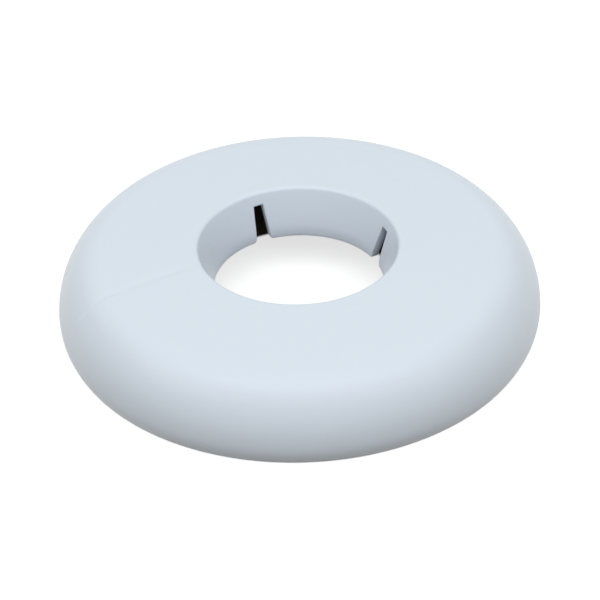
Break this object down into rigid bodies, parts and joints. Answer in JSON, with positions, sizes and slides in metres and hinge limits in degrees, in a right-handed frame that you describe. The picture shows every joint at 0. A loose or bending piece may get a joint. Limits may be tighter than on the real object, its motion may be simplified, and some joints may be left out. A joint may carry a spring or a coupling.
{
  "type": "pipe rosette",
  "caption": "Round domed cover ring for a pipe at a wall, hollow behind, with a slotted tapered sleeve in its bore that grips the pipe.",
  "frame": {"origin": "centre of the base ring, in the plane that touches the wall", "axes": "+Z out of the wall along the pipe; the slots of the sleeve lie on X and Y"},
  "size_m": [0.055, 0.055, 0.01],
  "materials": {
    "white_plastic": "satin, very fine grain"
  },
  "bodies": {
    "root": {"rosette": "white_plastic"}
  },
  "joints": []
}
